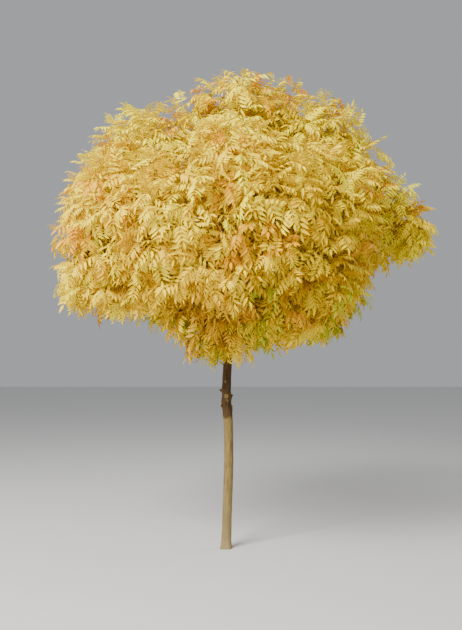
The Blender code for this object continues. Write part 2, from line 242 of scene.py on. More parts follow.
# One leaf of several pairs of leaflets, at length 1 along +X and facing +Z.
LEAF_KINDS = 16
FIRST_PAIR = 0.27
LAST_PAIR = 0.86
LEAF_ARCH = (0.14, 0.42)
LEAF_SWAY = 0.09
LEAFLET_ANGLE = (0.86, 1.10)
LEAFLET_DROOP = (0.18, 0.52)
LEAFLET_FOLD = (0.22, 0.50)
LEAFLET_BEND = (0.08, 0.24)
LEAFLET_LEAN = 0.2
LEAFLET_TILT = 0.25
LEAFLET_SIZES = (0.80, 0.24)
LEAFLET_SIZE_RANGE = (0.92, 1.08)
END_LEAFLET_GAIN = 1.12
LEAFLET_PAIRS = (4, 5)
LEAFLET_STATIONS = ((0.34, 1.0), (0.68, 0.70))
LEAFLET_FACES = np.array(
    ((0, 1, 2), (0, 2, 3), (1, 4, 5), (1, 5, 2), (2, 5, 6), (2, 6, 3), (4, 7, 5), (5, 7, 6))
)
STALK_STATIONS = (0.0, 0.35, 0.70)
STALK_SIDES = 3
STALK_RADIUS = 0.0065
STALK_TAPER = 0.6
STALK_PULL = 0.3
STALK_STEP = 0.02

BUD_SIDES = 5
BUD_LENGTH = 0.0075
BUD_RADIUS = 0.36
BUD_PROFILE = ((-0.20, 0.55), (0.28, 1.00), (0.68, 0.70))

# The tints from deep to pale, then two that stand apart, and which of them a spray takes.
TINTS = ("ochre", "deep_gold", "golden", "lemon", "pale_lemon", "amber", "yellow_green")
PALEST = TINTS.index("pale_lemon")
TINT_STEPS = (0.46, 0.58, 0.74, 0.90)
# Painted light and shade: a spray's tint is paler the farther it is from the crown's heart and the higher it
# is, and deeper inside. The chance share is tint that differs at random.
SHELL_PAINTED_LIGHT = 0.50
RISE_PAINTED_LIGHT = 0.28
CHANCE_LIGHT = 0.36
AMBER_FROM = 3.80
AMBER_HIGH = 0.20
AMBER_LOW = 0.05
GREEN_BELOW = 2.20
GREEN_SIDE = 0.1
GREEN_RIGHT = 0.30
GREEN_LEFT = 0.10
NEXT_TINT = 0.22
BARE_BACK = 0.05

# The finishes. A bump has strength and depth. A grain has the strength of its pores and its streaks' scale.
BARK_BUMP = (0.6, 0.0022)
TRUNK_BUMP = (0.6, 0.0025)
LEAF_BUMP = (0.35, 0.0006)
FLOOR_BUMP = (0.1, 0.002)
BARK_GLOSS = 0.3
LEAF_GLOSS = 0.35
LEAF_SHINE = 0.42
STOCK_GRAIN = (0.55, 85.0)
CROWN_GRAIN = (0.35, 95.0)
STUB_GRAIN = (0.3, 95.0)
CUT_GRAIN = (0.2, 240.0)
SCAR_GRAIN = (0.2, 160.0)
BOUGH_GRAIN = (0.35, 110.0)
TWIG_GRAIN = (0.3, 220.0)
BUD_GRAIN = (0.0, 300.0)
STREAK_STRETCH = (1, 1, 0.09)
BLOTCH_STRETCH = (1, 1, 0.6)
PORE_STRETCH = (1, 1, 2.1)
# The dark bark starts this far above the graft, along an uneven edge, and the foot fades between two heights.
CROWN_EDGE = (0.020, 0.055)
EDGE_WOBBLE = 0.09
FOOT_FADE = (0.05, 0.60)
FOOT_STRENGTH = 0.65

LAMP_SIDE = 4.5
MAIN_LAMP = (-4.5, -6.5, 7.5)
FILL_LAMP = (6.0, 3.5, 6.0)
SKY_COLOUR = (0.93, 0.96, 1.0, 1.0)
CAMERA_PLACE = (0.041, -6.75, 1.60)
CAMERA_PITCH = math.radians(93.3)
CAMERA_LENS = 44.57


def colour(red, green, blue):
    """A colour as it looks, 0 to 255, made linear for the shaders."""
    def linear(value):
        value /= 255
        return value / 12.92 if value <= 0.04045 else ((value + 0.055) / 1.055) ** 2.4

    return linear(red), linear(green), linear(blue), 1.0


def unit(vector):
    return vector / np.linalg.norm(vector)


def eased(at, places, values):
    """A smooth curve through the values: a cubic from each place to the next, with no kink between."""
    slopes = np.gradient(values, places, axis=0)
    index = np.clip(np.searchsorted(places, at, side="right") - 1, 0, len(places) - 2)
    width = (places[index + 1] - places[index])[:, None]
    share = (at - places[index])[:, None] / width
    rest = 1 - share
    return (
        values[index] * (1 + 2 * share) * rest**2
        + slopes[index] * width * share * rest**2
        + values[index + 1] * share**2 * (3 - 2 * share)
        - slopes[index + 1] * width * share**2 * rest
    )


# Joined meshes

class Joined:
    """Many small shapes joined into one mesh, from arrays of their points, triangles and finishes."""

    def __init__(self):
        self.points = []
        self.faces = []
        self.finishes = []
        self.count = 0

    def add(self, copies, faces, finish=0):
        """Adds copies of one shape, an array of copies by points by 3. finish is one number, or one each."""
        starts = self.count + copies.shape[1] * np.arange(len(copies))
        self.points.append(copies.reshape(-1, 3))
        self.faces.append((faces[None] + starts[:, None, None]).reshape(-1, 3))
        self.finishes.append(np.repeat(np.broadcast_to(finish, len(copies)), len(faces)))
        self.count += copies.shape[0] * copies.shape[1]

    def mesh(self, name, smooth=True):
        points = np.concatenate(self.points).astype(np.float32)
        faces = np.concatenate(self.faces).astype(np.int32)
        made = bpy.data.meshes.new(name)
        made.vertices.add(len(points))
        made.vertices.foreach_set("co", points.ravel())
        made.loops.add(faces.size)
        made.loops.foreach_set("vertex_index", faces.ravel())
        made.polygons.add(len(faces))
        made.polygons.foreach_set("loop_start", np.arange(0, faces.size, 3, dtype=np.int32))
        made.polygons.foreach_set("use_smooth", np.full(len(faces), smooth))
        made.polygons.foreach_set("material_index", np.concatenate(self.finishes).astype(np.int32))
        made.update(calc_edges=True)
        return made


@functools.lru_cache(maxsize=None)
def tube_faces(rings, sides, foot=True, head=True, point=False):
    """The triangles of a tube whose points run ring by ring. With point, one more point closes its head."""
    faces = []
    for ring in range(rings - 1):
        for step in range(sides):
            after = (step + 1) % sides
            low, low_after = ring * sides + step, ring * sides + after
            faces += [(low, low_after, low_after + sides), (low, low_after + sides, low + sides)]
    last = (rings - 1) * sides
    if foot:
        faces += [(0, step + 1, step) for step in range(1, sides - 1)]
    if point:
        faces += [(last + step, last + (step + 1) % sides, last + sides) for step in range(sides)]
    elif head:
        faces += [(last, last + step, last + step + 1) for step in range(1, sides - 1)]
    return np.array(faces)


def ring_frames(path):
    """Two cross directions at each point of a path, turned as little as possible from point to point."""
    steps = np.diff(path, axis=0)
    steps /= np.linalg.norm(steps, axis=1)[:, None]
    along = np.vstack([steps[:1], steps[:-1] + steps[1:], steps[-1:]])
    along /= np.linalg.norm(along, axis=1)[:, None]
    side = np.array(Vector(along[0]).orthogonal())
    frames = []
    for direction in along:
        side = unit(side - direction * (side @ direction))
        frames.append((side, np.cross(direction, side)))
    return np.array(frames)


def angles_round(sides):
    return 2 * math.pi * np.arange(sides) / sides


def tube_points(path, radii, sides):
    """Points round a path, ring by ring. radii has one number a ring, or one for each point of each ring."""
    angles = angles_round(sides)
    frames = ring_frames(path)
    around = (
        frames[:, 0, None, :] * np.cos(angles)[None, :, None]
        + frames[:, 1, None, :] * np.sin(angles)[None, :, None]
    )
    radii = radii[:, None] if radii.ndim == 1 else radii
    return (path[:, None, :] + around * radii[:, :, None]).reshape(-1, 3)


def turned_points(base, axis, profile, length, radius, sides):
    """Points of a turned shape that stands on base along axis, ring by ring down the profile."""
    side = unit(np.array(Vector(axis).orthogonal()))
    over = np.cross(axis, side)
    points = []
    for out, width in profile:
        for step in range(sides):
            angle = 2 * math.pi * step / sides
            around = side * math.cos(angle) + over * math.sin(angle)
            points.append(base + axis * out * length + around * width * radius)
    return np.array(points)


def add_piece(name, mesh, finishes, slot, *nodes):
    """Adds a piece in its place, riding on the one body and standing for those nodes."""
    piece = bpy.data.objects.new(name, mesh)
    bpy.context.scene.collection.objects.link(piece)
    for finish in finishes:
        mesh.materials.append(finish)
    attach(piece, "root")
    if nodes:
        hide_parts(*nodes)


# The rule of growth, as in the part's source

class Space:
    """The space of one mass: its ball, cut by a plane towards each neighbour that it would run into."""

    def __init__(self, mass):
        self.mass = mass
        self.radius = mass.radius
        self.centre = centre_of(mass)
        self.planes = []
        for other in MASSES:
            across = centre_of(other) - self.centre
            if other is mass or across.length > mass.radius + other.radius:
                continue
            reach = (across.length_squared + mass.radius**2 - other.radius**2) / (2 * across.length)
            self.planes.append((across.normalized(), reach - SPACE_MARGIN))

    def room(self, start, direction):
        """How far a straight line may run from start before it leaves the space."""
        offset = start - self.centre
        reach = self.ball_room(start, direction)
        for normal, limit in self.planes:
            slope = normal.dot(direction)
            if slope > 0:
                reach = min(reach, (limit - normal.dot(offset)) / slope)
        return max(reach, 0.0)

    def ball_room(self, start, direction, outside=0.0):
        """How far a straight line may run from start before it is this far outside the ball."""
        offset = start - self.centre
        along = offset.dot(direction)
        beyond = along**2 - offset.length_squared + (self.radius + outside) ** 2
        return math.sqrt(beyond) - along if beyond > 0 else 0.0

    def leaf_room(self, root, along):
        """How long a leaf may be: a shoot that fills a dip takes its leaves as far out as it stands out."""
        proud = max((root - self.centre).length + SPRAY_ROOM - self.radius, 0.0)
        return self.ball_room(root, along, OUTSIDE_ROOM + proud)


def centre_of(mass):
    return Vector((mass.x, mass.y, mass.z))


def bezier(a, b, c, d, share):
    rest = 1 - share
    return a * rest**3 + b * 3 * rest**2 * share + c * 3 * rest * share**2 + d * share**3


def bend(a, b, c, share):
    """A point on the bend from a by way of b to c."""
    rest = 1 - share
    return a * rest**2 + b * 2 * rest * share + c * share**2


def swerve(point, own):
    """The point moved out of the inner part of every ball but its own."""
    for mass in MASSES:
        away = point - centre_of(mass)
        clear = mass.radius * SWERVE
        if mass is not own and away.length < clear:
            point = point + away.normalized() * (clear - away.length)
    return point


def bough_path(mass, start):
    """From the carrier's axis to where the bough enters its mass, bending round the others on its way."""
    space = Space(mass)
    reach = (space.centre - start).normalized()
    level = Vector((reach.x, reach.y, 0)).normalized()
    entry = (reach + level * ENTRY_LEVEL).normalized()
    depth = min(mass.radius * ENTRY_SHARE, space.room(space.centre, -entry) - TIP_ROOM)
    tip = space.centre - entry * depth
    length = (tip - start).length
    first = start + (reach + UP * BOUGH_RISE) * length * BOUGH_FIRST_RUN
    last = tip - entry * length * BOUGH_LAST_RUN
    path = [bezier(start, first, last, tip, i / (BOUGH_RINGS - 1)) for i in range(BOUGH_RINGS)]
    return path[:1] + [swerve(point, mass) for point in path[1:-1]] + path[-1:]


class Limb:
    """The trunk or a bough: the path that it follows, and its radius along it."""

    def __init__(self, path, radii):
        self.path = path
        self.radii = radii

    def fork(self, share):
        place = share * (len(self.path) - 1)
        index = int(place)
        rest = place - index
        radius = self.radii[index] * (1 - rest) + self.radii[index + 1] * rest
        return self.path[index].lerp(self.path[index + 1], rest), radius

    def fork_at_height(self, height):
        heights = [point.z for point in self.path]
        return self.fork(float(np.interp(height, heights, np.linspace(0, 1, len(heights)))))

    def tip(self):
        return self.path[-1], (self.path[-1] - self.path[-2]).normalized(), self.radii[-1]


def bough_limb(mass, carrier):
    fork = carrier.fork_at_height if mass.carrier == "trunk" else carrier.fork
    start, carrier_radius = fork(mass.leaves_at)
    path = bough_path(mass, start)
    thick = carrier_radius * BOUGH_SHARE
    thin = max(thick * BOUGH_TAPER, BOUGH_SLIMMEST)
    radii = []
    for i, point in enumerate(path):
        collar = 1 + COLLAR * math.exp(-(point - start).length / COLLAR_LENGTH)
        radii.append((thick + (thin - thick) * i / (BOUGH_RINGS - 1)) * collar)
    return Limb(path, radii)


@functools.lru_cache(maxsize=1)
def grown_limbs():
    """The trunk, and the bough of each mass but the top one, by name."""
    limbs = {"trunk": Limb([Vector((x, y, z)) for z, x, y, _ in TRUNK], [row[3] for row in TRUNK])}
    for mass in MASSES[1:]:
        limbs[mass.name] = bough_limb(mass, limbs[mass.carrier])
    return limbs


def spread(count, turn):
    """Directions spread evenly over a ball."""
    for i in range(count):
        rise = 1 - 2 * (i + 0.5) / count
        flat = math.sqrt(1 - rise**2)
        angle = turn + i * GOLDEN_ANGLE
        yield Vector((flat * math.cos(angle), flat * math.sin(angle), rise))


def main_points(space, rng):
    """Where the main shoots of a mass end, as in the part's source."""
    outward = (space.centre - CROWN_HEART).normalized()
    points = []
    for direction in spread(SHOOT_DIRECTIONS, rng.uniform(0, 2 * math.pi)):
        room = space.room(space.centre, direction)
        if direction.dot(outward) > SHOOT_INWARD and room > space.radius * SHOOT_ROOM:
            points.append(space.centre + direction * min(room * SHOOT_DEPTH, space.radius * SHOOT_REACH))
    return points


def fine_points(space, rng, shoots):
    """Where the finer shoots end: in shells through the space, most of them near its outside."""
    outward = (space.centre - CROWN_HEART).normalized()
    count = round(shoots * (space.radius / USUAL_RADIUS) ** 2)
    points = []
    for i, direction in enumerate(spread(count, rng.uniform(0, 2 * math.pi))):
        jitter = Vector(rng.uniform(-FINE_JITTER, FINE_JITTER, 3))
        direction = (direction + jitter).normalized()
        room = space.room(space.centre, direction)
        if direction.dot(outward) < FINE_INWARD or room < FINE_LEAST_ROOM:
            continue
        reach = max(room - SPRAY_ROOM, room / 2) * FINE_SHELLS[i % len(FINE_SHELLS)]
        points.append(space.centre + direction * reach)
    return points


def valley_points(index):
    """Where shoots end in the dips between this mass and its later neighbours."""
    mass = MASSES[index]
    points = []
    for other in MASSES[index + 1:]:
        across = centre_of(other) - centre_of(mass)
        gap = across.length
        share = (gap**2 + mass.radius**2 - other.radius**2) / (2 * gap**2)
        rim = mass.radius**2 - (share * gap) ** 2
        if gap > mass.radius + other.radius or rim <= 0:
            continue
        middle = centre_of(mass) + across * share
        outward = middle - CROWN_HEART
        outward = (outward - across * outward.dot(across) / gap**2).normalized()
        over = across.cross(outward).normalized()
        others = [third for third in MASSES if third is not mass and third is not other]
        for turn in VALLEY_TURNS:
            around = outward * math.cos(turn) + over * math.sin(turn)
            point = middle + around * (math.sqrt(rim) + VALLEY_FILL)
            if all((point - centre_of(third)).length > third.radius - VALLEY_CLEAR for third in others):
                points.append(point)
    return points


Fork = namedtuple("Fork", "place way direction link")
Link = namedtuple("Link", "start bend end carrier")


def twig_links(heart, direction, points):
    """Each shoot springs from whichever earlier fork gives it the shortest way to the heart of the mass."""
    forks = [Fork(heart, 0.0, direction, None)]
    links = []
    for point in sorted(points, key=lambda place: (place - heart).length):
        costs = [(point - fork.place).length + WAY_WEIGHT * fork.way for fork in forks]
        fork = forks[costs.index(min(costs))]
        run = point - fork.place
        lead = fork.direction * FORK_LEAD - UP * SHOOT_SAG
        middle = fork.place + lead * run.length + run * FORK_AHEAD
        links.append(Link(fork.place, middle, point, fork.link))
        for share in FORK_SHARES:
            place = bend(fork.place, middle, point, share)
            onward = (middle.lerp(point, share) - fork.place.lerp(middle, share)).normalized()
            forks.append(Fork(place, fork.way + run.length * share, onward, len(links) - 1))
    return links


def shoots_carried(links):
    """How many shoots each link carries, its own among them."""
    carried = [1] * len(links)
    for i in range(len(links) - 1, -1, -1):
        if links[i].carrier is not None:
            carried[links[i].carrier] += carried[i]
    return carried


@functools.lru_cache(maxsize=None)
def grown_mass(index, shoots):
    """The space, the stem and the twig links of one mass."""
    mass = MASSES[index]
    space = Space(mass)
    rng = np.random.default_rng(SEED + index)
    rng.uniform(size=CORE_CORNERS)
    fine = np.random.default_rng(SEED + FINE_SEED + index)
    tip, direction, radius = grown_limbs().get(mass.name, grown_limbs()["trunk"]).tip()
    middle = tip + direction * (space.centre - tip).length * STEM_BEND
    onward = (space.centre - middle).normalized()
    points = main_points(space, rng) + fine_points(space, fine, shoots) + valley_points(index)
    stem = (tip - direction * STEM_SUNK, middle, space.centre, radius)
    return space, stem, twig_links(space.centre, onward, points)


# The leaf

def leaflet_points(root, along, normal, length, width, fold, droop):
    """A long pointed leaflet, folded and bent down along its midrib: a root, two rows of three, a tip."""
    across = unit(np.cross(normal, along))
    normal = np.cross(along, across)
    points = [root]
    for share, breadth in LEAFLET_STATIONS:
        middle = root + along * length * share - normal * length * droop * share**2
        half = across * width * breadth / 2
        lift = normal * fold * width * breadth / 2
        points += [middle - half + lift, middle, middle + half + lift]
    points.append(root + along * length - normal * length * droop)
    return np.array(points)


def leaf_kind(rng, pairs, leaflet_share, leaflet_width):
    """The points and triangles of one kind of leaf: an arching stalk, pairs of leaflets and the end one."""
    arch = rng.uniform(*LEAF_ARCH)
    sway = rng.uniform(-LEAF_SWAY, LEAF_SWAY)

    def stalk(share):
        return np.array([share - STALK_PULL * arch * share**3, sway * share**2, -arch * share**2])

    def heading(share):
        return unit(stalk(share + STALK_STEP) - stalk(share - STALK_STEP))

    path = np.array([stalk(share) for share in STALK_STATIONS])
    radii = STALK_RADIUS * (1 - STALK_TAPER * np.array(STALK_STATIONS))
    points = [np.vstack([tube_points(path, radii, STALK_SIDES), stalk(1.0)[None]])]
    faces = [tube_faces(len(STALK_STATIONS), STALK_SIDES, foot=False, point=True)]
    count = len(points[0])
    least, more = LEAFLET_SIZES
    places = [(share, hand) for share in np.linspace(FIRST_PAIR, LAST_PAIR, pairs) for hand in (-1, 1)]
    for share, hand in places + [(1.0, 0)]:
        ahead = heading(share)
        angle = rng.uniform(*LEAFLET_ANGLE) * hand
        out = np.array([0.0, 1.0, 0.0])
        along = ahead * math.cos(angle) + out * math.sin(angle)
        along = unit(along - np.array([0, 0, 1]) * rng.uniform(*LEAFLET_DROOP) * abs(hand))
        tilt = rng.uniform(-LEAFLET_TILT, LEAFLET_TILT, 3)
        normal = unit(np.array([0.0, 0.0, 1.0]) + ahead * LEAFLET_LEAN + tilt)
        size = leaflet_share * (least + more * math.sin(math.pi * share)) * rng.uniform(*LEAFLET_SIZE_RANGE)
        size *= 1.0 if hand else END_LEAFLET_GAIN
        fold = rng.uniform(*LEAFLET_FOLD)
        droop = rng.uniform(*LEAFLET_BEND)
        points.append(leaflet_points(stalk(share), along, normal, size, size * leaflet_width, fold, droop))
        faces.append(LEAFLET_FACES + count)
        count += len(points[-1])
    return np.vstack(points), np.vstack(faces)


Leaf = namedtuple("Leaf", "root along face length tint kind")


def tint_of(place, rng):
    """The tint of a spray: pale high up and far out and deep inside, as painted light and shade, and greener
    low down, most on the right.
    """
    shell = min((place - CROWN_HEART).length / CROWN_REACH, 1.0)
    rise = (place.z - CROWN_FOOT) / CROWN_HEIGHT
    # Painted light and shade: sprays far out and high up get paler tints and those inside deeper ones; the
    # chance term is tint that differs at random.
    light = SHELL_PAINTED_LIGHT * shell + RISE_PAINTED_LIGHT * rise + CHANCE_LIGHT * rng.uniform()
    chance = rng.uniform()
    if chance < (AMBER_HIGH if place.z > AMBER_FROM else AMBER_LOW):
        return TINTS.index("amber")
    if place.z < GREEN_BELOW and chance > 1 - (GREEN_RIGHT if place.x > GREEN_SIDE else GREEN_LEFT):
        return TINTS.index("yellow_green")
    return int(np.searchsorted(TINT_STEPS, light))


def within_reach(point):
    """True if the point is inside the box of the solids, or hardly outside it."""
    low, high = CAD_BOX
    return all(a - BOX_ROOM < value < b + BOX_ROOM for a, value, b in zip(low, point, high))


def leaves_of_shoot(space, link, rng, looks):
    """The leaves of one shoot: one on from its end, and behind it opposite pairs, each square to the last."""
    axis = (link.end - link.bend).normalized()
    side = axis.orthogonal().normalized()
    over = axis.cross(side)
    twist = rng.uniform(0, 2 * math.pi)
    tint = tint_of(link.end, rng)
    bare = BARE_BACK if rng.uniform() < looks.bare_tips else 0.0
    places = [] if bare else [(0.0, END_LEAF_SPREAD, END_LEAF_SIZE, twist)]
    for pair, (back, wide, size) in enumerate(PAIRS):
        for hand in (0, 1):
            places.append((back + bare, wide, size, twist + math.pi * (hand + pair / 2)))
    leaves = []
    for back, wide, size, angle in places:
        root = link.end - axis * back
        around = side * math.cos(angle) + over * math.sin(angle)
        along = (axis * math.cos(wide) + around * math.sin(wide) - UP * LEAF_DROOP).normalized()
        face = axis * LEAF_FACES_ON + UP * LEAF_FACES_UP + Vector(rng.uniform(-LEAF_TILT, LEAF_TILT, 3))
        wanted = looks.leaf_length * size * rng.uniform(*LEAF_LENGTH_RANGE)
        length = min(space.leaf_room(root, along), wanted)
        own = tint
        if rng.uniform() < NEXT_TINT and tint <= PALEST:
            own = min(max(tint + int(rng.choice((-1, 1))), 0), PALEST)
        kind = int(rng.integers(LEAF_KINDS))
        if length > wanted * SHORTEST_SHARE and within_reach(root + along * length):
            leaves.append(Leaf(root, along, face, length, own, kind))
    return leaves


def placed(template, leaves):
    """Copies of the template, each turned, sized and moved to its leaf."""
    roots, along, face, sizes = (np.array(values) for values in list(zip(*leaves))[:4])
    out = np.cross(face, along)
    out /= np.linalg.norm(out, axis=1)[:, None]
    frames = np.stack([along, out, np.cross(along, out)], axis=1)
    return roots[:, None, :] + sizes[:, None, None] * np.einsum("pk,nkj->npj", template, frames)


def leaves_mesh(index, looks, kinds):
    """All the leaves of one mass, joined, each with the number of its tint."""
    space, _, links = grown_mass(index, looks.shoots)
    rng = np.random.default_rng(SEED + 2 * FINE_SEED + index)
    leaves = [leaf for link in links for leaf in leaves_of_shoot(space, link, rng, looks)]
    joined = Joined()
    for number, (template, faces) in enumerate(kinds):
        own = [leaf for leaf in leaves if leaf.kind == number]
        if own:
            joined.add(placed(template, own), faces, np.array([leaf.tint for leaf in own]))
    return joined.mesh("leaves_" + MASSES[index].name, smooth=False)


# The twigs and buds

def add_twig(joined, curve, thick, thin, rings, sides):
    """Adds one bent twig that tapers from thick to thin. curve has its start, its bend and its end."""
    shares = np.linspace(0, 1, rings)
    path = np.array([bend(*curve, share) for share in shares])
    joined.add(tube_points(path, thin + (thick - thin) * (1 - shares), sides)[None], tube_faces(rings, sides))


def twigs_mesh(index, looks):
    """The stem of one mass and all its twigs, each tapering to its end."""
    _, (tip, middle, heart, radius), links = grown_mass(index, looks.shoots)
    joined = Joined()
    add_twig(joined, (tip, middle, heart), radius, STEM_HEART_RADIUS, STEM_RINGS, FINE_SIDES)
    for link, carried in zip(links, shoots_carried(links)):
        thick = min(SHOOT_TIP_RADIUS * TWIG_GAIN * math.sqrt(carried), STEM_HEART_RADIUS)
        sides = next(count for least, count in TWIG_SIDES if thick > least)
        add_twig(joined, link[:3], thick, SHOOT_TIP_RADIUS, TWIG_RINGS, sides)
    return joined.mesh("twigs_" + MASSES[index].name)


def buds_mesh(looks):
    """A dark pointed bud at the end of every shoot of the crown."""
    axis = np.array([1.0, 0.0, 0.0])
    rings = turned_points(np.zeros(3), axis, BUD_PROFILE, 1.0, BUD_RADIUS, BUD_SIDES)
    template = np.vstack([rings, axis[None]])
    ends = []
    for index in range(len(MASSES)):
        for link in grown_mass(index, looks.shoots)[2]:
            along = (link.end - link.bend).normalized()
            ends.append(Leaf(link.end, along, along.orthogonal(), BUD_LENGTH, 0, 0))
    joined = Joined()
    joined.add(placed(template, ends), tube_faces(len(BUD_PROFILE), BUD_SIDES, point=True))
    return joined.mesh("buds")


# The trunk, the stubs and the boughs

def waves(rng, turns, rise):
    """Seeded waves round and up a limb: how often each goes round, how fast it climbs and where it starts."""
    rounds = rng.integers(turns[0], turns[1] + 1, WAVES)
    return rounds, rng.uniform(-rise, rise, WAVES), rng.uniform(0, 2 * math.pi, WAVES)


def relief(angle, height, pattern):
    """How far the skin stands out at each angle and height, by one pattern of waves."""
    total = sum(np.cos(turns * angle + rise * height + start) for turns, rise, start in zip(*pattern))
    return total / math.sqrt(WAVES)


def trunk_mesh(bark):
    """The stem with fine streaks up its bark, a knotty swelling over the graft and a ridge at the union."""
    rows = np.array(TRUNK)
    rng = np.random.default_rng(SEED)
    low = np.arange(0, CLEAR_STEM, bark.ring_step)
    high = np.arange(CLEAR_STEM, rows[-1, 0], HIDDEN_STEPS * bark.ring_step)
    heights = np.concatenate([low, high, rows[-1:, 0]])
    line = eased(heights, rows[:, 0], rows[:, 1:])
    angle, height = np.meshgrid(angles_round(bark.sides), heights)
    lobes = np.cos(FLARE_LOBES * (angle - FLARE_START) + FLARE_TURN)
    radius = line[:, 2:] * (1 + FLARE_DEPTH * lobes * np.exp(-height / FLARE_HEIGHT))
    knots = 1 + KNOT_GAIN * np.exp(-(((height - KNOT_HEIGHT) / KNOT_SPREAD) ** 2))
    tilt = GRAFT_TILT * np.cos(GRAFT_WAVES * angle + GRAFT_START)
    union = np.exp(-(((height - GRAFT_HEIGHT - tilt) / GRAFT_WIDTH) ** 2))
    radius += bark.streak_depth * relief(angle, height, waves(rng, STREAK_TURNS, STREAK_RISE))
    radius += bark.lump_depth * relief(angle, height, waves(rng, LUMP_TURNS, LUMP_RISE)) * knots
    radius += bark.graft_ridge * union
    across = line[:, :1] + radius * np.cos(angle)
    back = line[:, 1:2] + radius * np.sin(angle)
    joined = Joined()
    points = np.stack([across, back, height], axis=2).reshape(1, -1, 3)
    joined.add(points, tube_faces(len(heights), bark.sides))
    return joined.mesh("trunk_bark_relief")


def on_stem(height, bearing):
    """A point on the skin of the trunk, and the level direction out of it."""
    rows = np.array(TRUNK)
    x, y, radius = eased(np.array([height]), rows[:, 0], rows[:, 1:])[0]
    out = np.array([math.cos(math.radians(bearing)), math.sin(math.radians(bearing)), 0.0])
    return np.array([x, y, height]) + out * radius, out


def stubs_mesh():
    """Short cut stubs, each with a swollen collar and a pale end, and scars that have healed to an eye."""
    joined = Joined()
    for height, bearing, length, radius in STUBS:
        base, out = on_stem(height, bearing)
        axis = unit(out + np.array([0, 0, STUB_RISE]))
        rings = turned_points(base, axis, STUB_PROFILE, length, radius, STUB_SIDES)
        joined.add(rings[None], tube_faces(len(STUB_PROFILE), STUB_SIDES, head=False), 0)
        rings = turned_points(base, axis, CUT_PROFILE, length, radius, STUB_SIDES)
        joined.add(rings[None], tube_faces(len(CUT_PROFILE), STUB_SIDES, foot=False), 1)
    for height, bearing, radius in SCARS:
        base, out = on_stem(height, bearing)
        rings = turned_points(base, out, SCAR_PROFILE, radius, radius, STUB_SIDES)
        joined.add(rings[None], tube_faces(len(SCAR_PROFILE), STUB_SIDES), 2)
    return joined.mesh("pruning_stubs")


def bough_mesh(name, limb, seed):
    """One bough on finer rings than its solid's, with an uneven skin."""
    rng = np.random.default_rng(SEED + seed)
    places = np.linspace(0, 1, len(limb.path))
    rows = np.array([(*point, radius) for point, radius in zip(limb.path, limb.radii)])
    line = eased(np.linspace(0, 1, FINE_RINGS), places, rows)
    run = np.concatenate([[0], np.cumsum(np.linalg.norm(np.diff(line[:, :3], axis=0), axis=1))])
    angle, along = np.meshgrid(angles_round(FINE_SIDES), run)
    radii = line[:, 3:] * (1 + BOUGH_RELIEF * relief(angle, along, waves(rng, LUMP_TURNS, LUMP_RISE)))
    joined = Joined()
    joined.add(tube_points(line[:, :3], radii, FINE_SIDES)[None], tube_faces(FINE_RINGS, FINE_SIDES))
    return joined.mesh(name)


# Finishes

def new_group(name, inputs, outputs):
    """An empty shader group with those sockets, given as kind, name and default."""
    tree = bpy.data.node_groups.new(name, "ShaderNodeTree")
    for kind, label, default in inputs:
        socket = tree.interface.new_socket(name=label, in_out="INPUT", socket_type="NodeSocket" + kind)
        if default is not None:
            socket.default_value = default
    for kind, label in outputs:
        tree.interface.new_socket(name=label, in_out="OUTPUT", socket_type="NodeSocket" + kind)
    return tree, tree.nodes.new("NodeGroupInput").outputs, tree.nodes.new("NodeGroupOutput").inputs


def feed(tree, socket, value):
    """Links an output to the socket, or sets a plain value on it."""
    if isinstance(value, bpy.types.NodeSocket):
        tree.links.new(value, socket)
    else:
        socket.default_value = value


def node(tree, kind, values, **settings):
    """The outputs of a new shader node with those settings, its sockets fed by number or name."""
    made = tree.nodes.new("ShaderNode" + kind)
    for label, setting in settings.items():
        setattr(made, label, setting)
    for socket, value in values.items():
        feed(tree, made.inputs[socket], value)
    return made.outputs


def own_place(tree):
    """The object's own coordinates."""
    return node(tree, "TexCoord", {})["Object"]


def stretched(tree, place, shape):
    return node(tree, "VectorMath", {0: place, 1: shape}, operation="MULTIPLY")[0]


def noise(tree, place, scale, detail):
    return node(tree, "TexNoise", {"Vector": place, "Scale": scale, "Detail": detail})[0]


def weighted(tree, *parts):
    """The sum of several values, each times its weight."""
    total = None
    for value, weight in parts:
        part = node(tree, "Math", {0: value, 1: weight}, operation="MULTIPLY")[0]
        total = part if total is None else added(tree, total, part)
    return total


def added(tree, a, b):
    return node(tree, "Math", {0: a, 1: b}, operation="ADD")[0]


def ranged(tree, value, from_low, from_high, to_low, to_high):
    return node(tree, "MapRange", dict(enumerate((value, from_low, from_high, to_low, to_high))))[0]


def mixed(tree, share, first, second):
    return node(tree, "Mix", {0: share, 6: first, 7: second}, data_type="RGBA")[2]


